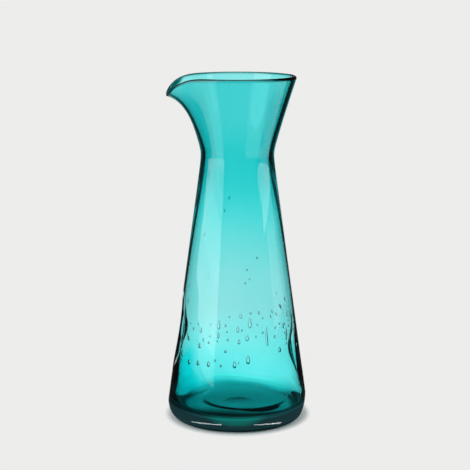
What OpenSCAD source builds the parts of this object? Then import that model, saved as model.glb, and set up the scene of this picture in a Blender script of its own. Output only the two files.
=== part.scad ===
// Hand-blown seeded glass water carafe with a flared mouth and a pulled spout.
//
// The real carafe is one piece of glass. It is drawn here in the four zones that
// the glassmaker works in turn: the thick base, the gripped body, the drawn-in
// neck and the flared mouth. Each zone is a closed solid, and the zones meet face
// to face on level planes.
//
// Frame: +Z up, origin at the middle of the foot on the table, spout towards -X,
// one pressed grip towards -X and the other towards +X.

/* [Overall] */
// Height from the table to the top of the rim
height = 280; // [220:1:340]
// Widest radius of the body, at the top of the rounded heel
heel_r = 57.3; // [48:0.1:66]
// Narrowest radius of the outside, at the waist
waist_r = 29.8; // [24:0.1:36]
// How far below the top of the rim the waist lies
waist_drop = 61.7; // [52:0.1:90]
// Outer radius of the round part of the rim
rim_r = 47.9; // [40:0.1:54]

/* [Outline] */
// How softly the tapered body turns into the flared mouth
waist_soft = 2; // [0.5:0.1:8]
// How far the flare bows inwards between waist and rim
flare_bow = 0.4; // [0:0.1:3]

/* [Base] */
// Height of the solid base zone, up to where the free wall starts
base_h = 20; // [18:0.5:28]
// Height of the rounded heel
heel_h = 15; // [8:0.5:17]
// Outer radius of the flat ring that the carafe rests on
foot_r = 51.5; // [44:0.1:54]
// Radius of the hollow under the base
punt_r = 36; // [20:0.5:42]
// Depth of the hollow under the base, which the inside floor follows
punt_rise = 1.2; // [0.6:0.1:4]
// Thickness of the glass under the edge of the inside floor
floor_t = 9.5; // [7:0.1:12]
// Share of the inside floor's radius within which the floor swells
swell_share = 0.84; // [0.76:0.01:0.95]
// Share of the inside floor's radius within which the swelling is full
full_share = 0.7; // [0.3:0.01:0.74]
// Height of that swelling
swell_rise = 0.9; // [0.3:0.1:3]
// Radius of the rounded corner between inside floor and wall
corner_r = 7; // [3:0.1:9]

/* [Wall] */
// Wall where it leaves the base
wall_foot = 5.4; // [3:0.1:7]
// Wall over the slim part of the body
wall_slim = 1.9; // [1.4:0.1:4]
// Wall at the waist
wall_waist = 4; // [2.4:0.1:7]
// Wall of the mouth, which is also the width of the fire-polished lip
wall_mouth = 3.8; // [2:0.1:5]
// Height where the wall has thinned to its slim part
slim_from_z = 85; // [50:1:100]
// Height where the wall starts to thicken again towards the waist
slim_to_z = 155; // [110:1:180]
// Length below the waist over which the wall keeps its full thickness
waist_even = 2; // [0:1:30]
// Length above the waist over which the wall thins to that of the mouth
waist_fade = 28; // [10:1:45]

/* [Grips] */
// Depth of each pressed grip
grip_depth = 6.5; // [2:0.1:8]
// Height of the deepest point of the grip below the spout
spout_grip_z = 76.5; // [62:0.5:110]
// Reach of that grip above its deepest point
spout_grip_up = 29; // [14:0.5:36]
// Reach of that grip below its deepest point
spout_grip_down = 37; // [14:0.5:46]
// Half of that grip's width, measured round the body
spout_grip_half_w = 16.3; // [9:0.1:22]
// Height of the deepest point of the grip on the far side
back_grip_z = 58; // [50:0.5:90]
// Reach of that grip above its deepest point
back_grip_up = 26; // [14:0.5:36]
// Reach of that grip below its deepest point
back_grip_down = 24; // [12:0.5:28]
// Half of that grip's width
back_grip_half_w = 10.5; // [8:0.1:20]

/* [Spout] */
// How far the lip of the spout stands out past the round rim
spout_reach = 10.6; // [4:0.1:16]
// How far the lip of the spout dips below the rim
spout_dip = 12.9; // [5:0.1:18]
// Share of the flare, down from the rim, that the spout is pulled from
spout_share = 0.956; // [0.7:0.001:1]
// Share of the wall that is left at the tip, where the glass is stretched
tip_wall_share = 0.6; // [0.4:0.01:1]

/* [Zones] */
// Share of the height where the gripped body ends and the neck starts
body_top_share = 0.543; // [0.45:0.001:0.62]

/* [Hidden] */
$fn = 96;

// Segments round the wall, packed closer towards -X and +X
segments = 72;
packing_share = 0.24;
// Rings up each zone
body_low_rings = 2;
grip_rings = 17;
body_high_rings = 5;
mouth_rings = 17;
neck_rings = 24;
heel_steps = 12;
floor_steps = 24;
lip_steps = 6;
// How much closer the mouth's rings lie towards the lip
ring_packing = 1.15;
// Half angle of the spout's outward pull and of its dip, and how square each is
reach_angle = 31.8;
reach_power = 2.85;
dip_angle = 22.3;
dip_power = 2.1;
// How late, going up the flare, the pull and the dip set in
reach_delay = 3;
dip_delay = 3.3;

body_top_z = height * body_top_share;
waist_z = height - waist_drop;
waist_cross_r = waist_r - waist_soft / 2;
lip_r = wall_mouth / 2;
spout_length = waist_drop * spout_share;
grip_low_z = min(spout_grip_z - spout_grip_down, back_grip_z - back_grip_down);
grip_high_z = max(spout_grip_z + spout_grip_up, back_grip_z + back_grip_up);

function mix(a, b, t) = a + (b - a) * t;
function clamp01(t) = min(max(t, 0), 1);
function ease(t) = let (c = clamp01(t)) c * c * (3 - 2 * c);
function soft_max(a, b, soft) = (a + b + sqrt((a - b) ^ 2 + soft ^ 2)) / 2;

// Outside radius of the round carafe at height z: a straight taper below the
// waist and a slightly bowed flare above it, blended into one curve
function taper_r(z) = mix(heel_r, waist_cross_r, (z - heel_h) / (waist_z - heel_h));
function flare_r(z) = let (t = (z - waist_z) / (height - waist_z))
    mix(waist_cross_r, rim_r, t) - 4 * flare_bow * max(t, 0) * (1 - t);
function outer_r(z) = soft_max(taper_r(z), flare_r(z), waist_soft);

// Wall at height z: thick at the base, slim in the body, thick again at the waist
function wall(z) =
    z < slim_from_z ? mix(wall_foot, wall_slim, ease((z - base_h) / (slim_from_z - base_h)))
    : z < waist_z ? mix(wall_slim, wall_waist,
                        ease((z - slim_to_z) / (waist_z - waist_even - slim_to_z)))
    : mix(wall_waist, wall_mouth, ease((z - waist_z) / waist_fade));
function inner_r(z) = outer_r(z) - wall(z);

// Direction number j round the wall: even steps, drawn together at 0 and 180
function turn(j) = let (even = 360 * j / segments)
    even - packing_share * sin(2 * even) * 180 / PI;
// Angle from a, wrapped to -180..180
function off(angle, a) = let (d = (angle - a) % 360) d > 180 ? d - 360 : d < -180 ? d + 360 : d;

// How far one grip presses the wall in: an oval dent with soft lips, lopsided
// up and down as a thumb leaves it
function dent(z, angle, at, deep_z, up, down, half_w) =
    let (u = off(angle, at) * PI / 180 * outer_r(deep_z) / half_w,
         v = (z - deep_z) / (z > deep_z ? up : down),
         out = 1 - min(u * u + v * v, 1))
    grip_depth * out * sqrt(out);
function grip_in(z, angle) =
    dent(z, angle, 180, spout_grip_z, spout_grip_up, spout_grip_down, spout_grip_half_w)
    + dent(z, angle, 0, back_grip_z, back_grip_up, back_grip_down, back_grip_half_w);

// The spout: the wall below the rim is pulled outwards and rolled down, most at
// the lip and not at all where the pull starts
function pull_start(z) = clamp01((z - (height - spout_length)) / (spout_length - lip_r));
function lobe(angle, half_angle, power) = exp(-((abs(off(angle, 180)) / half_angle) ^ power));
function spout_out(z, angle) =
    spout_reach * pull_start(z) ^ reach_delay * lobe(angle, reach_angle, reach_power);
function spout_down(z, angle) =
    spout_dip * pull_start(z) ^ dip_delay * lobe(angle, dip_angle, dip_power);
function stretched(z, angle) =
    mix(1, tip_wall_share, pull_start(z) * lobe(angle, reach_angle, reach_power));

function at(r, angle, z) = [r * cos(angle), r * sin(angle), z];

// A tube wall from a closed chain of rings, each with one point per segment:
// up the outside, over the top, down the inside and back along the bottom
module ring_chain(rings) {
    count = len(rings);
    points = [for (ring = rings) for (p = ring) p];
    faces = [for (i = [0 : count - 1], j = [0 : segments - 1])
        let (a = i * segments + j,
             b = i * segments + (j + 1) % segments,
             c = (i + 1) % count * segments + (j + 1) % segments,
             d = (i + 1) % count * segments + j)
        each [[a, c, b], [a, d, c]]];
    polyhedron(points, faces, convexity = 8);
}

function reverse(list) = [for (i = [len(list) - 1 : -1 : 0]) list[i]];

// Rise of the hollow under the base at radius r
function hollow(r) = punt_rise * (1 - ease(r / punt_r));

// Thick base: resting ring, hollow underneath, rounded heel, and an inside floor
// that runs level with the hollow and swells in the middle
module base() {
    under = [for (i = [0 : heel_steps]) let (r = punt_r * i / heel_steps) [r, hollow(r)]];
    heel = [for (i = [0 : heel_steps]) let (a = 90 * i / heel_steps)
        [mix(foot_r, outer_r(heel_h), sin(a)), heel_h * (1 - cos(a))]];
    corner = [for (i = [0 : heel_steps]) let (a = 90 * i / heel_steps)
        [inner_r(base_h) - corner_r * (1 - cos(a)), floor_t + corner_r * (1 - sin(a))]];
    floor_r = inner_r(base_h) - corner_r;
    swelling = [for (i = [floor_steps - 1 : -1 : 0]) let (share = i / floor_steps)
        [floor_r * share, floor_t + hollow(floor_r * share)
            + swell_rise * (1 - ease((share - full_share) / (swell_share - full_share)))]];
    color([0, 0.42, 0.44])
        rotate_extrude()
            polygon(concat(under, heel, [[outer_r(base_h), base_h], [inner_r(base_h), base_h]],
                           corner, swelling));
}

// Tapered body with the two pressed grips, inside and outside alike
module body() {
    levels = concat(
        [for (i = [0 : body_low_rings - 1]) mix(base_h, grip_low_z, i / body_low_rings)],
        [for (i = [0 : grip_rings - 1]) mix(grip_low_z, grip_high_z, i / (grip_rings - 1))],
        [for (i = [1 : body_high_rings]) mix(grip_high_z, body_top_z, i / body_high_rings)]);
    outside = [for (z = levels) [for (j = [0 : segments - 1])
        at(outer_r(z) - grip_in(z, turn(j)), turn(j), z)]];
    inside = [for (z = levels) [for (j = [0 : segments - 1])
        at(inner_r(z) - grip_in(z, turn(j)), turn(j), z)]];
    color([0.35, 0.85, 0.85])
        ring_chain(concat(outside, reverse(inside)));
}

// Neck: the upper taper, drawn in to the waist
module neck() {
    levels = [for (i = [0 : neck_rings]) mix(body_top_z, waist_z, i / neck_rings)];
    color([0.15, 0.7, 0.72])
        rotate_extrude()
            polygon(concat([for (z = levels) [outer_r(z), z]],
                           [for (z = reverse(levels)) [inner_r(z), z]]));
}

// Middle of the mouth's wall as [radius, height] before the wall's ends are rounded
function mid(z, angle) = [outer_r(z) - wall(z) / 2 + spout_out(z, angle),
                          z - spout_down(z, angle)];
// Outward direction across the wall there, level where the mouth joins the neck
function across(z, angle) =
    let (step = (height - waist_z) / mouth_rings / 4,
         run = mid(z, angle) - mid(z - step, angle),
         n = [run[1], -run[0] * ease((z - waist_z) / (height - waist_z) * 3)])
    n / norm(n);

// Flared mouth with the pulled spout and the rounded, fire-polished lip
module mouth() {
    top_z = height - lip_r;
    levels = [for (i = [0 : mouth_rings]) mix(waist_z, top_z, 1 - (1 - i / mouth_rings) ^ ring_packing)];
    // One ring on the wall: side is 1 outside, -1 inside; cap turns it over the lip
    function wall_ring(z, side) = [for (j = [0 : segments - 1])
        let (a = turn(j), p = mid(z, a) + across(z, a) * side * wall(z) / 2 * stretched(z, a))
        at(p[0], a, p[1])];
    function lip_ring(turned) = [for (j = [0 : segments - 1])
        let (a = turn(j), n = across(top_z, a), half = wall(top_z) / 2 * stretched(top_z, a),
             p = mid(top_z, a) + half * (n * cos(turned) + [-n[1], n[0]] * sin(turned)))
        at(p[0], a, p[1])];
    color([0.2, 0.75, 0.78])
        ring_chain(concat(
            [for (z = levels) wall_ring(z, 1)],
            [for (i = [1 : lip_steps - 1]) lip_ring(180 * i / lip_steps)],
            [for (z = reverse(levels)) wall_ring(z, -1)]));
}

base();
body();
neck();
mouth();
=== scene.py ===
import math
import random

import bmesh
import bpy
from mathutils import Matrix, Vector, noise


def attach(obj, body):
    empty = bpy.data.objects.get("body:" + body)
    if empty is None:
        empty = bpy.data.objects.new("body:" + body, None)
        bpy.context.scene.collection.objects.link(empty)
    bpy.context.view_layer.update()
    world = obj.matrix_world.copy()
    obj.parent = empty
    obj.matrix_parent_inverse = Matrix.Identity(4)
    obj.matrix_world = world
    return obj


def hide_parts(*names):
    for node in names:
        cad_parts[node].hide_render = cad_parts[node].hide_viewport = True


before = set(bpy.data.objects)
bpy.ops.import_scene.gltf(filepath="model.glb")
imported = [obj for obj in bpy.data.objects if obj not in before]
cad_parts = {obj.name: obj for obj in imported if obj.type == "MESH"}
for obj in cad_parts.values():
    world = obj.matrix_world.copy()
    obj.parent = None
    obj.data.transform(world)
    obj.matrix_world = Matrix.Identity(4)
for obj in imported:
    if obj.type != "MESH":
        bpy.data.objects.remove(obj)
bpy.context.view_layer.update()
print("loaded the carafe's solids")

mm = 0.001
hair = 1e-7     # metres, below which two points are one


# camera

photoView = {
    "width": 470,           # pixels
    "centreRow": 234.5,
    "axisColumn": 237.45,   # where the carafe's axis stands in the picture
    "focal": 1313.1,        # pixels
    "distance": 1050,       # millimetres from the axis, on the level
    "height": 355.4,
    "pitch": 11.01,         # degrees down
    "turned": 6.2,          # degrees that the spout is turned towards the camera
    "sensor": 36,
    "clipStart": 50,
}


def addCamera(view):
    data = bpy.data.cameras.new("photoView")
    data.sensor_width = view["sensor"]
    data.lens = view["focal"] / view["width"] * data.sensor_width
    data.shift_x = (view["width"] / 2 - view["axisColumn"]) / view["width"]
    data.shift_y = (view["centreRow"] - view["width"] / 2) / view["width"]
    data.clip_start = view["clipStart"] * mm
    turned = math.radians(view["turned"])
    camera = bpy.data.objects.new("photoView", data)
    camera.location = Vector((-math.sin(turned) * view["distance"],
                              -math.cos(turned) * view["distance"],
                              view["height"])) * mm
    camera.rotation_euler = (math.radians(90 - view["pitch"]), 0, -turned)
    bpy.context.scene.collection.objects.link(camera)
    bpy.context.scene.camera = camera
    return camera


camera = addCamera(photoView)
print("camera at the photo's angle")


# shape of the carafe, in millimetres and degrees: the solids' forms, and the small hand-made ones

carafe = {
    "height": 280,
    "heelR": 57.3,          # radius at the top of the heel
    "heelH": 15,            # height of the heel in the solids
    "waistR": 29.8,
    "waistDrop": 61.7,      # from the rim down to the waist
    "rimR": 47.9,
    "waistSoft": 2,         # how soft the bend at the waist is
    "flareBow": 0.4,        # how far the flare is bowed in at its middle
    "baseH": 20,            # the inside wall starts here, above the floor's rounded corner
    "heelLeft": 12.5,       # height of the rounded heel below the spout
    "heelRight": 19,        # and on the far side, where the foot is rounder
    "heelFront": 3,         # what it gains between them
    "heelSpan": 24,         # the wall's own rings start here, above the heel on every side
    "footR": 51.5,          # outer edge of the resting ring
    "puntR": 36,            # and its inner edge, where the hollow starts
    "puntRise": 1.2,
    "floorT": 9.5,          # thickness of the floor
    "cornerR": 7.5,         # rounding between the inside floor and the wall
    "swellShare": 0.84,     # share of the inside floor's radius within which it swells
    "fullShare": 0.7,       # and within which the swelling is full
    "swellRise": 0.9,
    "swellShift": (6, 7),   # the hand-made swelling sits off the axis
    "plainShare": 0.15,     # share of the radius that stays plain at the floor's edge
    # thickness of the wall
    "wallFoot": 5.4,
    "wallLeft": -0.8,       # how much thinner that is below the spout
    "wallRight": -2.4,      # and on the far side
    "sideTop": 70,          # height up to which it is so
    "wallSlim": 1.9,
    "wallWaist": 4,
    "wallMouth": 3.8,
    "slimFrom": 78,
    "slimTo": 155,
    "waistEven": 2,         # so far below the waist the wall has the waist's thickness
    "waistFade": 28,        # and so far above it the mouth's
    # angle, height of the deepest point, depth, reach up, reach down, half width
    "grips": [(180, 76.5, 6.5, 29, 37, 16.3), (0, 58, 6.5, 26, 24, 10.5)],
    "innerGrips": [(180, 75, 6.8, 21, 22, 16), (0, 53, 7, 22, 22, 15)],
    "gripPower": 1.5,       # how steeply a grip's sides fall
    "leastShare": 0.5,      # share of the wall that is left where a grip thins it most
    # the spout
    "spoutReach": 10.6,
    "spoutDip": 12.9,
    "spoutLength": 59,      # from the rim down to where it starts
    "reachAngle": 31.8,     # half width of the reach round the rim
    "reachPower": 2.85,
    "reachClimb": 3,        # how late the reach grows on the way up
    "dipAngle": 22.3,
    "dipPower": 2.1,
    "dipClimb": 3.3,
    "tipWallShare": 0.6,    # share of the wall's thickness that is left at the tip
    "slopeStep": 0.9,       # length over which the mouth's slope is taken
    "slopeTurn": 3,         # it counts in full once one part in this many of the flare is passed
    # the lip's mark for the material's painted dark edge: elsewhere, and along the spout's back edge
    "lipShadeMark": (1, 2.5),
    "wallShadeMark": (0.3, 2.5),     # on the wall just below the lip
    "markDepth": (1, 4.5),      # how far down the wall it reaches
    "backEdge": -12,            # from the spout's middle, round towards the back
    "backEdgeHalf": 17,
    "backEdgePower": 6,
    # smooth noise in the blown wall: its reach is where it starts, how far it takes to be full,
    # where it starts to end and how far that takes
    "noiseR": 50,           # radius of the circle on which the noise is read
    "unevenWall": 0.16,     # how far the wall wanders from its even thickness, as a share
    "unevenReach": (25, 20, 200, 30),
    "unevenGrain": 24,
    "unevenStretch": 0.35,
    "sagWander": 9,         # how far the thick lower wall climbs or drops round the body
    "sagReach": (25, 20, 95, 25),
    "sagGrain": 26,
    "sagSlice": 300,        # height at which the noise is read
    # the maker's swirl in the inside floor
    "swirlH": 0.06,
    "swirlTurn": 9,         # degrees for each millimetre of radius
    "swirlStretch": 2.4,
    "swirlGrain": 9,
    "swirlSlice": 40,
    # scar of the rod in the middle of the hollow foot: a rough ring with a dent in it
    "pontilR": 12,
    "pontilWidth": 2.6,
    "pontilH": 0.07,
    "pontilRough": 0.6,
    "pontilStretch": 6,
    "pontilGrain": 14,
    "dentR": 7,
    "dentShare": 0.4,
    # rings and steps of the mesh
    "steps": 240,           # round the axis
    "flatRings": 28,
    "curveRings": 14,
    "heelRings": 3,         # from the heel's top up to the wall's own rings
    "wallRings": 96,
    "mouthRings": 34,
    "mouthBend": 1.15,      # they stand closer together towards the rim
}
c = carafe
waistZ = c["height"] - c["waistDrop"]
lipR = c["wallMouth"] / 2
topZ = c["height"] - lipR


def mix(a, b, t):
    return a + (b - a) * t


def clamp01(t):
    return min(max(t, 0), 1)


def ease(t):
    t = clamp01(t)
    return t * t * (3 - 2 * t)


def within(z, reach):       # 1 within the reach, eased to 0 at both its ends
    start, fadeIn, end, fadeOut = reach
    return ease((z - start) / fadeIn) * (1 - ease((z - end) / fadeOut))


def farShare(angle):        # 0 below the spout, 1 on the far side
    return 0.5 + 0.5 * math.cos(math.radians(angle))


def outerR(z):      # straight taper below the waist, bowed flare above it
    waistCross = c["waistR"] - c["waistSoft"] / 2
    taper = mix(c["heelR"], waistCross, (z - c["heelH"]) / (waistZ - c["heelH"]))
    t = (z - waistZ) / (c["height"] - waistZ)
    flare = mix(waistCross, c["rimR"], t) - 4 * c["flareBow"] * max(t, 0) * (1 - t)
    return (taper + flare + math.hypot(taper - flare, c["waistSoft"])) / 2


def evenWall(z):
    if z < c["slimFrom"]:
        return mix(c["wallFoot"], c["wallSlim"], ease((z - c["baseH"]) / (c["slimFrom"] - c["baseH"])))
    if z < waistZ:
        return mix(c["wallSlim"], c["wallWaist"],
                   ease((z - c["slimTo"]) / (waistZ - c["waistEven"] - c["slimTo"])))
    return mix(c["wallWaist"], c["wallMouth"], ease((z - waistZ) / c["waistFade"]))


def wander(angle, z, grain):        # smooth noise that closes round the body, -1 to 1
    a = math.radians(angle)
    return noise.noise(Vector((math.cos(a) * c["noiseR"], math.sin(a) * c["noiseR"], z)) / grain)


def wall(z, angle):
    sag = c["sagWander"] * within(z, c["sagReach"]) * wander(angle, c["sagSlice"], c["sagGrain"])
    uneven = c["unevenWall"] * within(z, c["unevenReach"])
    uneven *= wander(angle, z * c["unevenStretch"], c["unevenGrain"])
    side = mix(c["wallLeft"], c["wallRight"], farShare(angle))
    side *= 1 - ease((z - c["baseH"]) / (c["sideTop"] - c["baseH"]))
    return evenWall(z + sag) * (1 + uneven) + side


def innerR(z, angle):
    return outerR(z) - wall(z, angle)


def off(angle, a):
    return (angle - a + 180) % 360 - 180


def gripIn(z, angle, grips):        # how far the pressed grips push the wall in
    total = 0
    for at, deep, depth, up, down, half in grips:
        u = math.radians(off(angle, at)) * outerR(deep) / half
        v = (z - deep) / (up if z > deep else down)
        total += depth * (1 - min(u * u + v * v, 1)) ** c["gripPower"]
    return total


def pullStart(z):
    return clamp01((z - (c["height"] - c["spoutLength"])) / (c["spoutLength"] - lipR))


def lobe(angle, half, power):       # 1 at the spout, falling off round the rim
    return math.exp(-((abs(off(angle, 180)) / half) ** power))


def reachLobe(angle):
    return lobe(angle, c["reachAngle"], c["reachPower"])


def midWall(z, angle):      # middle of the mouth's wall with the spout pulled out of it
    r = outerR(z) - evenWall(z) / 2
    pull = pullStart(z)
    return Vector((r + c["spoutReach"] * pull ** c["reachClimb"] * reachLobe(angle),
                   z - c["spoutDip"] * pull ** c["dipClimb"] * lobe(angle, c["dipAngle"], c["dipPower"])))


def mouthPoint(z, angle, turned):   # turned 0 is the outside, 180 the inside, between them the lip
    run = midWall(z, angle) - midWall(z - c["slopeStep"], angle)
    lean = ease((z - waistZ) / (c["height"] - waistZ) * c["slopeTurn"])
    n = Vector((run[1], -run[0] * lean)).normalized()
    along = Vector((-n[1], n[0]))
    half = evenWall(z) / 2 * mix(1, c["tipWallShare"], pullStart(z) * reachLobe(angle))
    t = math.radians(turned)
    return midWall(z, angle) + half * (n * math.cos(t) + along * math.sin(t))


def outsidePoint(z, angle):
    if z > waistZ:
        return mouthPoint(z, angle, 0)
    return Vector((outerR(z) - gripIn(z, angle, c["grips"]), z))


def insidePoint(z, angle):
    if z > waistZ:
        return mouthPoint(z, angle, 180)
    least = gripIn(z, angle, c["grips"]) - wall(z, angle) * (1 - c["leastShare"])
    return Vector((innerR(z, angle) - max(gripIn(z, angle, c["innerGrips"]), least), z))


def lipPoint(turned, angle):
    return mouthPoint(topZ, angle, turned)


def puntRise(r):
    return c["puntRise"] * (1 - ease(r / c["puntR"]))


def underPoint(t, angle):       # hollow foot with the scar of the rod, then the resting ring
    r = t * c["footR"]
    rough = 1 + c["pontilRough"] * wander(angle * 2, r * c["pontilStretch"], c["pontilGrain"])
    scar = math.exp(-((r - c["pontilR"]) / c["pontilWidth"]) ** 2) * rough
    scar -= c["dentShare"] * math.exp(-((r / c["dentR"]) ** 2))
    return Vector((r, max(puntRise(r) - c["pontilH"] * scar, 0)))


def heelPoint(t, angle):        # the foot is fuller on one side than on the other
    high = mix(c["heelLeft"], c["heelRight"], farShare(angle))
    high += c["heelFront"] * math.sin(math.radians(angle)) ** 2
    if t > 1:
        z = mix(high, c["heelSpan"], t - 1)
        return Vector((outerR(z), z))
    a = math.radians(90 * t)
    return Vector((mix(c["footR"], outerR(high), math.sin(a)), high * (1 - math.cos(a))))


def cornerPoint(t, angle):
    a = math.radians(90 * t)
    edge = innerR(c["baseH"], angle)
    return Vector((edge - c["cornerR"] * (1 - math.cos(a)),
                   c["floorT"] + c["cornerR"] * (1 - math.sin(a))))


def floorPoint(t, angle):       # inside floor, pushed up by the hollow, with the maker's swirl in it
    floorR = innerR(c["baseH"], angle) - c["cornerR"]
    r = floorR * t
    a = math.radians(angle)
    x, y = r * math.cos(a) - c["swellShift"][0], r * math.sin(a) - c["swellShift"][1]
    share = math.hypot(x, y) / floorR
    swell = 1 - ease((share - c["fullShare"]) / (c["swellShare"] - c["fullShare"]))
    swell *= 1 - ease((t - (1 - c["plainShare"])) / c["plainShare"])
    level = c["swirlSlice"] + r * c["swirlStretch"]
    swirl = c["swirlH"] * wander(angle + r * c["swirlTurn"], level, c["swirlGrain"]) * (1 - t)
    return Vector((r, c["floorT"] + puntRise(r) + c["swellRise"] * swell + swirl))


def between(a, b, count, bend=1):       # count values after a, up to b
    return [mix(a, b, 1 - (1 - i / count) ** bend) for i in range(1, count + 1)]


def outline():      # the cut through the wall, from under the foot round to the inside floor
    flat, curve = between(0, 1, c["flatRings"]), between(0, 1, c["curveRings"])
    side = between(c["heelSpan"], waistZ, c["wallRings"])
    inside = between(c["baseH"], waistZ, c["wallRings"])
    mouth = between(waistZ, topZ, c["mouthRings"], c["mouthBend"])
    rows = [(underPoint, t) for t in [0] + flat]
    rows += [(heelPoint, t) for t in curve + between(1, 2, c["heelRings"])]
    rows += [(outsidePoint, z) for z in side + mouth]
    rows += [(lipPoint, t) for t in between(0, 180, c["curveRings"])[:-1]]
    rows += [(insidePoint, z) for z in reversed(inside[:-1] + [waistZ] + mouth)]
    rows += [(cornerPoint, t) for t in [0] + curve]
    rows += [(floorPoint, t) for t in reversed([0] + flat[:-1])]
    return rows


# the mark is the mask of the painted shade along the lip, where the glass is seen edge on
def markLipShade(bm, rows, rowOf):       # how much a point shows the wall edge on, as an attribute
    lipOf = bm.verts.layers.float.new("lip")
    for v in bm.verts:
        pointAt, t = rows[v[rowOf]]
        angle = math.degrees(math.atan2(v.co.y, v.co.x))
        spout = lobe(angle - c["backEdge"], c["backEdgeHalf"], c["backEdgePower"])
        if pointAt is lipPoint:
            v[lipOf] = mix(*c["lipShadeMark"], spout)
        elif pointAt in (outsidePoint, insidePoint) and t > waistZ:
            deep = mix(*c["markDepth"], spout)
            v[lipOf] = ease((t - topZ + deep) / deep) * mix(*c["wallShadeMark"], spout)


def spinWall(bm):
    rows = outline()
    rowOf = bm.verts.layers.int.new("row")
    last = None
    for i, (pointAt, t) in enumerate(rows):
        r, z = pointAt(t, 0)
        v = bm.verts.new((r * mm, 0, z * mm))
        v[rowOf] = i
        if last:
            bm.edges.new((last, v))
        last = v
    bmesh.ops.spin(bm, geom=bm.verts[:] + bm.edges[:], cent=(0, 0, 0), axis=(0, 0, 1),
                   angle=math.tau, steps=c["steps"], use_merge=True)
    for v in bm.verts:      # each point goes where its own angle puts it
        if v.co.xy.length < hair:
            v.co.x = v.co.y = 0
            continue
        pointAt, t = rows[v[rowOf]]
        angle = math.degrees(math.atan2(v.co.y, v.co.x))
        r, z = pointAt(t, angle)
        a = math.radians(angle)
        v.co = Vector((r * math.cos(a), r * math.sin(a), z)) * mm
    markLipShade(bm, rows, rowOf)
    bmesh.ops.remove_doubles(bm, verts=bm.verts, dist=hair)
    bm.normal_update()
    bmesh.ops.recalc_face_normals(bm, faces=bm.faces)


# seeds: the air bubbles blown into the wall

seeds = {
    # column and row in the picture, width and height in pixels, and 0 for a seed in the near
    # wall or 1 for one in the far wall
    "seen": [
        (282, 306.6, 3, 5, 1), (274.3, 310.9, 3, 4, 1), (278.5, 313.6, 2.5, 4, 1),
        (287.7, 313.6, 3, 6, 1), (272.5, 315.8, 2.5, 5, 1), (258.4, 312.5, 3, 4, 1),
        (250.3, 312.5, 2.5, 4, 1), (241.6, 315.8, 3, 6, 1), (249.7, 322.8, 4, 11, 0),
        (218.8, 325, 4, 11, 1), (282.3, 325.5, 3, 6, 0), (199.3, 329.9, 3, 7, 1),
        (237.8, 329.3, 3, 7, 0), (266.5, 336.4, 3, 20, 0), (285.5, 332, 3.5, 10, 0),
        (218.3, 335.3, 3, 8, 1), (247, 338, 4, 6, 0), (285.5, 338, 3, 4, 0),
        (238.9, 341.8, 3, 5, 0), (200.2, 345.4, 4, 6, 0), (279, 349.4, 4, 6, 0),
        (190.1, 361.5, 3.5, 6, 0), (247.9, 359.7, 4.5, 9, 0), (198.5, 362.7, 3.5, 5.5, 0),
        (208.9, 364, 3.5, 6, 0), (234.6, 364.6, 4, 7.5, 0),
        (230, 316.9, 2, 2.5, 1), (262.7, 317.9, 2, 2.5, 1), (289.3, 319.6, 2, 3, 1),
        (256.8, 324.4, 2, 2.5, 1), (225.9, 325.5, 2.5, 3.5, 1), (278.7, 323.4, 2.5, 2.5, 0),
        (287.7, 325.5, 2.5, 2.5, 0), (275, 327.4, 2, 3, 0), (209.6, 324.4, 2, 2.5, 1),
        (196.4, 323.4, 2, 2.5, 1), (192.3, 328.2, 2, 4, 1), (241.9, 330.2, 2, 2.5, 0),
        (227.2, 332, 2, 2.5, 1), (262.4, 332.4, 2.5, 2.5, 0), (188.5, 334.2, 2, 6, 0),
        (209.1, 336.4, 2, 2.5, 1), (274.1, 336.6, 2.5, 3.5, 0), (255.7, 336.4, 2, 2, 0),
        (203.7, 339.6, 2, 4.5, 0), (227.8, 339.8, 2.5, 3, 0), (209.1, 342.3, 2.5, 3, 0),
        (217.2, 341.8, 2, 3, 1), (181.4, 348.8, 2.5, 4, 0), (225.6, 351.2, 3, 3.5, 0),
        (182.5, 358.6, 3, 4, 0), (215.4, 360.2, 2, 3, 0), (238.6, 362.9, 1.5, 2.5, 0),
        (221, 365.6, 2.5, 3, 0),
        (229.5, 197.8, 2, 3.5, 0), (224.8, 210.6, 2, 2.5, 0), (205.1, 234.4, 2, 3, 0),
        (256.8, 257.8, 2, 2.5, 0), (247, 269.7, 2, 2, 0), (250.3, 278.9, 1.8, 2, 1),
        (206.9, 276.7, 1.8, 2, 1), (245.1, 283.2, 2, 2, 0),
    ],
    "mmPerPixel": 0.82,
    "widthShare": 0.8,      # the bubble is smaller than the dark ring that it shows
    "tallShare": 0.95,
    "slim": 0.32,           # as a drop, so much slimmer at the top and fuller at the bottom
    "bowFrom": 12,          # pixels: a seed longer than this bows sideways
    "bow": 0.09,            # and by how much, as a share of half its length
    "bowMiddle": 0.4,       # share of the bow by which its middle moves the other way
    "inWall": 0.3,          # most of the wall's thickness that a seed may take, to each side
    "coarseBelow": 4,       # millimetres: shorter ones have fewer faces
    # millimetres along a line of sight where the search for the wall starts, and its steps
    "searchFrom": 960,
    "searchStep": 0.2,
    "searchSteps": 900,
    # further seeds, to the left and right of the carafe
    "sideSeeds": 46,
    "sideHalf": 34,         # degrees
    "sideHeight": (48, 108),
    "bigShare": 0.3,
    "bigWidth": (2, 3),
    "smallWidth": (0.9, 1.6),
    "tallness": (1.2, 2.4),     # length as a share of the width
    "draw": 7,              # starts the random draws
}


def wallCentre(z, angle):       # middle of the wall as a point
    both = (outsidePoint(z, angle) + insidePoint(z, angle)) / 2
    a = math.radians(angle)
    return Vector((both[0] * math.cos(a), both[0] * math.sin(a), both[1]))


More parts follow.
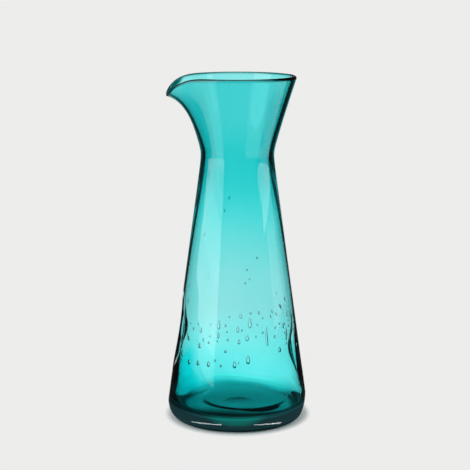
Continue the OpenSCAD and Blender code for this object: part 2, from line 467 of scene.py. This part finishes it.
def underPixel(column, row, far):       # height and angle where a line of sight meets the wall
    direction = camera.rotation_euler.to_matrix() @ Vector((
        (column - photoView["axisColumn"]) / photoView["focal"],
        (photoView["centreRow"] - row) / photoView["focal"], -1))
    start = camera.location / mm
    found = None
    for i in range(seeds["searchSteps"]):
        p = start + direction * (seeds["searchFrom"] + i * seeds["searchStep"])
        angle = math.degrees(math.atan2(p.y, p.x))
        if p.xy.length < outerR(p.z) - gripIn(p.z, angle, c["grips"]) - evenWall(p.z) / 2:
            found = (p.z, angle)
            if not far:
                break
    return found


def addSeed(bm, z, angle, width, tall, lean=0):
    centre = wallCentre(z, angle)
    up = (wallCentre(z + 1, angle) - wallCentre(z - 1, angle)).normalized()
    side = (wallCentre(z, angle + 1) - wallCentre(z, angle - 1)).normalized()
    out = side.cross(up).normalized()
    thick = min(width / 2, wall(z, angle) * seeds["inWall"])
    axes = Matrix((side, out, up)).transposed()
    rounds = 2 if tall < seeds["coarseBelow"] else 3
    made = bmesh.ops.create_icosphere(bm, subdivisions=rounds, radius=1)
    for v in made["verts"]:
        x, y, t = v.co
        slim = 1 - seeds["slim"] * t
        bow = lean * (tall / 2) * (t * t - seeds["bowMiddle"])
        local = Vector((x * width / 2 * slim + bow, y * thick * slim, t * tall / 2))
        v.co = (centre + axes @ local) * mm


def addSeenSeeds(bm):
    perPixel = seeds["mmPerPixel"]
    for column, row, wide, tall, far in seeds["seen"]:
        found = underPixel(column, row, far)
        if found:
            lean = seeds["bow"] if tall > seeds["bowFrom"] else 0
            addSeed(bm, *found, wide * perPixel * seeds["widthShare"],
                    tall * perPixel * seeds["tallShare"], lean)


def addSideSeeds(bm):
    draw = random.Random(seeds["draw"])
    for i in range(seeds["sideSeeds"]):
        angle = draw.choice((0, 180)) + draw.uniform(-seeds["sideHalf"], seeds["sideHalf"])
        z = mix(*seeds["sideHeight"], draw.random())
        big = draw.random() < seeds["bigShare"]
        width = draw.uniform(*seeds["bigWidth" if big else "smallWidth"])
        addSeed(bm, z, angle, width, width * draw.uniform(*seeds["tallness"]))


def addSeeds(wallMesh):
    bm = bmesh.new()
    addSeenSeeds(bm)
    addSideSeeds(bm)
    bm.normal_update()
    bmesh.ops.recalc_face_normals(bm, faces=bm.faces)
    bmesh.ops.reverse_faces(bm, faces=bm.faces)     # they face the air inside
    mesh = bpy.data.meshes.new("seeds")
    bm.to_mesh(mesh)
    bm.free()
    wallMesh.from_mesh(mesh)
    bpy.data.meshes.remove(mesh)


# node trees

class Value:        # a socket that plain arithmetic can be done on
    def __init__(self, tree, socket):
        self.tree, self.socket = tree, socket

    def maths(self, operation, a, b):
        return self.tree.add("ShaderNodeMath", {"operation": operation}, {0: a, 1: b})

    def __add__(self, other):
        return self.maths("ADD", self, other)

    def __sub__(self, other):
        return self.maths("SUBTRACT", self, other)

    def __rsub__(self, other):
        return self.maths("SUBTRACT", other, self)

    def __mul__(self, other):
        return self.maths("MULTIPLY", self, other)

    def __gt__(self, other):
        return self.maths("GREATER_THAN", self, other)

    def __lt__(self, other):
        return self.maths("LESS_THAN", self, other)

    __radd__ = __add__
    __rmul__ = __mul__


class Tree:
    def __init__(self, owner):
        owner.use_nodes = True
        self.nodes, self.links = owner.node_tree.nodes, owner.node_tree.links
        self.nodes.clear()

    def add(self, kind, settings=None, sockets=None, out=0):
        node = self.nodes.new(kind)
        for name, value in (settings or {}).items():
            setattr(node, name, value)
        for name, value in (sockets or {}).items():
            if isinstance(value, Value):
                self.links.new(value.socket, node.inputs[name])
            else:
                node.inputs[name].default_value = value
        return Value(self, node.outputs[out]) if node.outputs else None

    def ramp(self, value, span, low=0, high=1):     # an eased step from low to high over the span
        return self.add("ShaderNodeMapRange", {"interpolation_type": "SMOOTHSTEP"}, {
            "Value": value, "From Min": span[0], "From Max": span[1], "To Min": low, "To Max": high})

    def blend(self, share, a, b):       # colour a, and as much of b as the share says
        return self.add("ShaderNodeMix", {"data_type": "RGBA"}, {
            "Factor": share, "A": a, "B": b}, out="Result")

    def vector(self, operation, a, b=None, out="Vector"):
        sockets = {0: a} if b is None else {0: a, 1: b}
        return self.add("ShaderNodeVectorMath", {"operation": operation}, sockets, out)

    def axis(self, place, name):
        return self.add("ShaderNodeSeparateXYZ", {}, {0: place}, out=name)


# glass

glass = {
    "lets": (0, 0.868, 0.872, 1),   # what the glass lets through beside red light
    "takes": 330,                   # how fast it takes red light, per metre
    "index": 1.5,
    "roughness": 0.0,
    # tints of the surface; the side and lip ones are painted shade where the glass is seen at a slant
    "tint": (0.985, 1, 1, 1),
    "waistTint": (0.56, 0.97, 0.97, 1),     # where the glass was worked longest
    "mouthShare": 0.2,                      # share of that in the mouth
    # painted shade: the waist's sides darken where the wall is seen at a slant
    "sideEdgeShade": (0.25, 0.8, 0.82, 1),       # round the waist, to the left and right of its middle
    "lowTint": (0.06, 0.92, 0.94, 1),       # thicker glass low down below the spout
    # painted shade: the lip's edge darkened where it is seen along the glass
    "lipPaintedShade": (0, 0.12, 0.12, 1),          # the lip's own edge, seen along the glass
    # painted glow in the thick heel, standing in for light that it gathers: where it faces the eye, and
    # elsewhere
    "heelPaintedGlow": (0.005, 0.13, 0.11, 1),
    "footPaintedGlow": (0.008, 0.03, 0.034, 1),
    # heights in metres where a tint, a painted shade or a painted glow starts and where it is full, or
    # where it starts to end and has ended
    "waistStarts": (0.1, 0.185),
    "waistEnds": (0.205, 0.25),
    "sideStarts": (0.175, 0.21),
    "sideEnds": (0.255, 0.278),
    "lowEnds": (0.036, 0.052),
    "heelStarts": (0.0015, 0.004),
    "heelEnds": (0.0125, 0.0155),
    "eyeGlowStarts": (0.003, 0.008),
    "lowAcross": (-0.038, -0.033),  # metres from the axis, towards the spout
    # from 0 where the surface faces the eye to 1 where it is seen along
    "sideFacing": (0.2, 0.33),
    "lipFacing": (0, 0.3),
    # what is left of the lip's painted shade where the lip faces the eye
    "lipLeast": 0.4,        # share of the lip's tint that is left where it faces the eye
    "eyeGlowFacing": (0.1, 0.2),
    # waves left by blowing
    "waves": 18,                    # per metre
    "waveHeight": 0.00022,
    "waveStretch": (1, 1, 0.45),
    "waveDetail": 1.5,
    "waveRoughness": 0.45,
}


def glassTintAndShade(tree, g, place, facing):
    height, across = tree.axis(place, "Z"), tree.axis(place, "X")
    worked = tree.ramp(height, g["waistStarts"])
    worked = worked * (1 - tree.ramp(height, g["waistEnds"]) * (1 - g["mouthShare"]))
    # painted shade at the waist's sides, by how far the surface is seen at a slant
    side = tree.ramp(facing, g["sideFacing"]) * tree.ramp(height, g["sideStarts"])
    side = side * (1 - tree.ramp(height, g["sideEnds"]))
    low = tree.ramp(across, g["lowAcross"], 1, 0) * (1 - tree.ramp(height, g["lowEnds"]))
    # painted shade along the lip, stronger where the lip is seen edge on
    lip = tree.add("ShaderNodeAttribute", {"attribute_name": "lip"}, out="Fac")
    edge = lip * tree.ramp(facing, g["lipFacing"], g["lipLeast"])
    tint = g["tint"]
    for share, name in ((worked, "waistTint"), (side, "sideEdgeShade"), (low, "lowTint"), (edge, "lipPaintedShade")):
        tint = tree.blend(share, tint, g[name])
    return tint


# painted glow: emission in the heel, brighter where it faces the eye
def paintHeelGlow(tree, g, place, facing):      # only on the outside of the heel
    height = tree.axis(place, "Z")
    paintedGlow = tree.ramp(facing, g["eyeGlowFacing"], 1, 0) * tree.ramp(height, g["eyeGlowStarts"])
    away = tree.vector("LENGTH", tree.vector("MULTIPLY", place, (1, 1, 0)), out="Value")
    heel = tree.ramp(height, g["heelStarts"]) * (1 - tree.ramp(height, g["heelEnds"]))
    heel = heel * (away > carafe["footR"] * mm)
    return tree.blend(heel, (0, 0, 0, 1), tree.blend(paintedGlow, g["footPaintedGlow"], g["heelPaintedGlow"]))


def glassMaterial(g):
    material = bpy.data.materials.new("seededTealGlass")
    tree = Tree(material)
    place = tree.add("ShaderNodeTexCoord", out="Object")
    facing = tree.add("ShaderNodeLayerWeight", out="Facing")
    tall = tree.add("ShaderNodeMapping", {}, {"Vector": place, "Scale": g["waveStretch"]})
    waves = tree.add("ShaderNodeTexNoise", {}, {
        "Vector": tall, "Scale": g["waves"], "Detail": g["waveDetail"], "Roughness": g["waveRoughness"]})
    bump = tree.add("ShaderNodeBump", {}, {
        "Height": waves, "Strength": 1, "Distance": g["waveHeight"]})
    # Base Color carries painted shade at the waist's sides and the lip; Emission Color is the heel's
    # painted glow
    surface = tree.add("ShaderNodeBsdfPrincipled", {}, {
        "Base Color": glassTintAndShade(tree, g, place, facing), "Roughness": g["roughness"],
        "IOR": g["index"], "Transmission Weight": 1, "Normal": bump,
        "Emission Color": paintHeelGlow(tree, g, place, facing), "Emission Strength": 1})
    body = tree.add("ShaderNodeVolumeAbsorption", {}, {"Color": g["lets"], "Density": g["takes"]})
    tree.add("ShaderNodeOutputMaterial", {}, {"Surface": surface, "Volume": body})
    return material


def buildCarafe():
    bm = bmesh.new()
    spinWall(bm)
    print("wall spun:", len(bm.faces), "faces")
    addSeeds(bm)
    print("seeds blown in:", len(bm.faces), "faces")
    for f in bm.faces:
        f.smooth = True
    mesh = bpy.data.meshes.new("carafe")
    bm.to_mesh(mesh)
    bm.free()
    piece = bpy.data.objects.new("carafe", mesh)
    bpy.context.scene.collection.objects.link(piece)
    mesh.materials.append(glassMaterial(glass))
    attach(piece, "root")
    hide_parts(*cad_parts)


buildCarafe()
print("carafe made")


# studio

studio = {
    # brightness of what stands round the carafe, as each kind of light sees it
    "backdrop": 0.845,
    "backdropColour": (1, 1, 0.992, 1),
    "behindGlass": 1.04,        # what shines through the glass
    "room": 0.02,               # what the glass mirrors beside the lamps
    "turned": 0.07,             # and what it mirrors on the way through, on top of that
    "fill": 0.62,               # light of the room on the floor
    # a bright slit straight behind, for light that grazes the glass
    "slit": 0.85,
    "slitEdge": (0.95, 0.975),  # how nearly straight behind, as a cosine
    "slitTop": 0.05,            # it ends this far above the level, as a sine
    # the floor, in metres
    "floorR": 9,
    "floorSides": 96,
    "floorDrop": 0.0002,        # below the foot, so that the two don't touch
    "floorColour": (0.8, 0.8, 0.795, 1),
    "floorFade": (0.056, 0.062),    # from the axis: the foot's shadow fades into the backdrop
    # seen through the glass: painted shadow, dark below the foot's front edge, lighter below its middle
    # and back
    "shadowUnderFoot": (0, 0.62, 0.9),
    "underFront": (-0.03, -0.004),  # how far behind the axis, where the first turns into the second
    "underBack": (0.015, 0.045),    # and where the second turns into the third
    "underRing": 0.12,          # share of it that is left under the front of the resting ring
    "ringEdge": (0.04, 0.048),
    "ringFront": (0.02, 0.04),
    "shadowEdge": (0.05, 0.058),    # from the axis: where the floor beside the foot gets bright
    "shadowLonger": 0.035,      # how much farther that is towards the camera
    "shadowFront": (0, 0.03),
    # painted pool of light on the floor round the carafe, seen through the glass
    "paintedFloorGlow": 0.27,          # extra light round the carafe, which the glass gathers
    "glowStarts": (0.06, 0.11),
    "glowEnds": (0.08, 0.38),
    # painted brightness of the floor below the foot, for mirrored rays
    "paintedUnderGlow": 0.4,           # the floor below the foot, as the glass mirrors it
    "underGlowEdge": (0.055, 0.08),
    "slitStarts": (0.1, 0.3),   # the slit on the floor
    # name: degrees to the side of the photo's line of sight, from and to, heights of its lower
    # and upper edge, distance from the axis, brightness
    "softboxes": {
        "leftSoftbox": (-84, -40, 0.3, 2.4, 1.15, 1.8),
        "leftNeck": (-86, -40, 0.262, 0.3, 1.15, 2.4),
        "leftShoulder": (-92, -40, 0.235, 0.262, 1.15, 2.9),
        "leftBody": (-99, -40, 0.15, 0.235, 1.15, 3),
        "leftMiddle": (-101, -40, 0.06, 0.15, 1.15, 2.4),
        "leftSeeds": (-86, -40, 0.03, 0.06, 1.15, 2.1),
        "leftLower": (-76, -40, -0.02, 0.03, 1.15, 1.3),
        "rightWaist": (60, 74, 0.3, 2.4, 1.15, 1.4),
        "rightNeck": (61, 82, 0.275, 0.3, 1.15, 1.9),
        "rightShoulder": (64, 94, 0.25, 0.275, 1.15, 2.4),
        "rightSoftbox": (68, 108, 0.2, 0.25, 1.15, 2.7),
        "rightLower": (76, 106, 0.012, 0.2, 1.15, 0.75),
    },
    "heelStrips": {             # narrow ones that only the heel mirrors
        "leftStrip": (-90, -26, -0.372, -0.344, 0.45, 15),
        "rightStrip": (31, 90, -0.372, -0.344, 0.45, 15),
    },
    "heelAim": 0.012,           # height of the point on the axis that they are turned to
    "heelSpread": 28,           # degrees
    "mouthSoftboxes": {         # turned up, so that only the waist and the flare mirror them
        "leftFlare": (-86, -43, 0.02, 0.2, 0.3, 1.8),
        "rightFlare": (26, 51, 0.02, 0.17, 0.3, 1.1),
        "rightFlareWing": (51, 74, 0.04, 0.17, 0.3, 1.2),
        "rightFlareSide": (74, 112, 0.074, 0.17, 0.3, 1.3),
    },
    "mouthAim": 0.235,
    "mouthSpread": 50,
    "stripTurn": 14,            # degrees: a lamp with a spread is a curve of lamps up to this wide
    "topPlace": (0, -0.1, 1.7),
    "topWidth": 1.4,
    "topBrightness": 1.0,
}


class Sight:        # what kind of ray looks at the backdrop or the floor
    def __init__(self, tree):
        path = "ShaderNodeLightPath"
        self.eye = tree.add(path, out="Is Camera Ray")
        self.mirrored = tree.add(path, out="Glossy Depth") > 0.5
        self.turned = self.mirrored * (tree.add(path, out="Transmission Depth") > 0.5)
        self.through = tree.add(path, out="Is Transmission Ray") * (1 - self.mirrored)
        self.other = (1 - self.eye) * (1 - self.through) * (1 - self.mirrored)


def awayFromCamera():       # the photo's line of sight on the level
    a = math.radians(90 - photoView["turned"])
    return (math.cos(a), math.sin(a), 0)


def slitBehind(tree, way):      # a bright slit straight behind the carafe, as the photo sees it
    level = tree.vector("NORMALIZE", tree.vector("MULTIPLY", way, (1, 1, 0)))
    straight = tree.vector("DOT_PRODUCT", level, awayFromCamera(), out="Value")
    return tree.ramp(straight, studio["slitEdge"], 0, studio["slit"])


def addWorld():
    world = bpy.data.worlds.new("paleStudio")
    bpy.context.scene.world = world
    tree = Tree(world)
    sight = Sight(tree)
    way = tree.add("ShaderNodeTexCoord", out="Generated")
    slit = slitBehind(tree, way) * (tree.axis(way, "Z") < studio["slitTop"])
    light = (sight.eye * studio["backdrop"] + sight.through * studio["behindGlass"]
             + sight.mirrored * (slit + studio["room"]) + sight.turned * studio["turned"]
             + sight.other * studio["fill"])
    back = tree.add("ShaderNodeBackground", {}, {
        "Color": studio["backdropColour"], "Strength": light})
    tree.add("ShaderNodeOutputWorld", {}, {"Surface": back})


# painted shadow below the foot and a painted glow round it for rays through the glass, and painted
# brightness below the foot for mirrored rays
def floorLight(tree, sight, place, away):       # brightness of the floor, for each kind of ray
    depth = tree.vector("DOT_PRODUCT", place, awayFromCamera(), out="Value")
    nearest, middle, back = studio["shadowUnderFoot"]
    under = (tree.ramp(depth, studio["underFront"], nearest, middle)
             + tree.ramp(depth, studio["underBack"], 0, back - middle))
    ring = (tree.ramp(away, studio["ringEdge"], 0, 1 - studio["underRing"])
            * tree.ramp(depth, studio["ringFront"], 1, 0))
    front = tree.ramp(depth, studio["shadowFront"], -studio["shadowLonger"], 0)
    outside = tree.ramp(away + front, studio["shadowEdge"], 0, studio["behindGlass"])
    below = tree.add("ShaderNodeMath", {"operation": "MAXIMUM"}, {0: under * (1 - ring), 1: outside})
    paintedGlow = (tree.ramp(away, studio["glowEnds"], studio["paintedFloorGlow"], 0)
                * tree.ramp(away, studio["glowStarts"]))
    mirrored = tree.ramp(away, studio["underGlowEdge"], studio["paintedUnderGlow"], studio["room"])
    slit = slitBehind(tree, place) * tree.ramp(away, studio["slitStarts"])
    return (sight.eye * studio["backdrop"] + sight.through * (below + paintedGlow)
            + sight.mirrored * mirrored * (1 - ring)
            + sight.turned * slit + sight.other * studio["fill"])


def floorMaterial():        # lit as a matt floor near the foot, even as the backdrop elsewhere
    material = bpy.data.materials.new("paleFloor")
    tree = Tree(material)
    sight = Sight(tree)
    place = tree.add("ShaderNodeTexCoord", out="Object")
    away = tree.vector("LENGTH", place, out="Value")
    lit = tree.add("ShaderNodeBsdfDiffuse", {}, {"Color": studio["floorColour"]})
    even = tree.add("ShaderNodeEmission", {}, {
        "Color": studio["backdropColour"], "Strength": floorLight(tree, sight, place, away)})
    litShare = (1 - tree.ramp(away, studio["floorFade"])) * (1 - sight.through) * (1 - sight.mirrored)
    both = tree.add("ShaderNodeMixShader", {}, {0: litShare, 1: even, 2: lit})
    tree.add("ShaderNodeOutputMaterial", {}, {"Surface": both})
    return material


def addFloor():
    bm = bmesh.new()
    bmesh.ops.create_circle(bm, cap_ends=True, segments=studio["floorSides"], radius=studio["floorR"])
    bmesh.ops.translate(bm, verts=bm.verts, vec=(0, 0, -studio["floorDrop"]))
    mesh = bpy.data.meshes.new("floor")
    bm.to_mesh(mesh)
    bm.free()
    floor = bpy.data.objects.new("floor", mesh)
    floor.visible_glossy = False
    bpy.context.scene.collection.objects.link(floor)
    mesh.materials.append(floorMaterial())


def addLamp(name, place, target, width, height, brightness, spread=180):
    data = bpy.data.lights.new(name, "AREA")
    data.spread = math.radians(spread)
    if spread < 180:        # the same brightness straight ahead as an open lamp
        half = math.radians(spread / 2)
        brightness *= 1 - half / math.tan(half)
    data.shape = "RECTANGLE"
    data.size, data.size_y = width, height
    data.energy = brightness * math.pi * width * height
    lamp = bpy.data.objects.new(name, data)
    lamp.location = place
    lamp.rotation_euler = (Vector(target) - Vector(place)).to_track_quat("-Z", "Y").to_euler()
    lamp.visible_camera = False
    lamp.visible_transmission = False
    bpy.context.scene.collection.objects.link(lamp)


def addSoftbox(name, box, aim=None, spread=180):        # with a spread it is a curved strip
    start, end, low, high, distance, brightness = box
    count = 1 if spread == 180 else math.ceil((end - start) / studio["stripTurn"])
    turn = (end - start) / count
    width = 2 * distance * math.tan(math.radians(turn / 2))
    middle = (low + high) / 2
    for i in range(count):
        a = math.radians(start + (i + 0.5) * turn - 90 - photoView["turned"])
        place = (math.cos(a) * distance, math.sin(a) * distance, middle)
        target = (0, 0, middle if aim is None else aim)
        addLamp(name + str(i + 1), place, target, width, high - low, brightness, spread)


def addLamps():
    for name, box in studio["softboxes"].items():
        addSoftbox(name, box)
    for name, box in studio["heelStrips"].items():
        addSoftbox(name, box, studio["heelAim"], studio["heelSpread"])
    for name, box in studio["mouthSoftboxes"].items():
        addSoftbox(name, box, studio["mouthAim"], studio["mouthSpread"])
    addLamp("topSoftbox", studio["topPlace"], (0, 0, 0), studio["topWidth"], studio["topWidth"],
            studio["topBrightness"])


addWorld()
addFloor()
addLamps()
print("studio set up")

bpy.context.scene.view_settings.view_transform = "Standard"
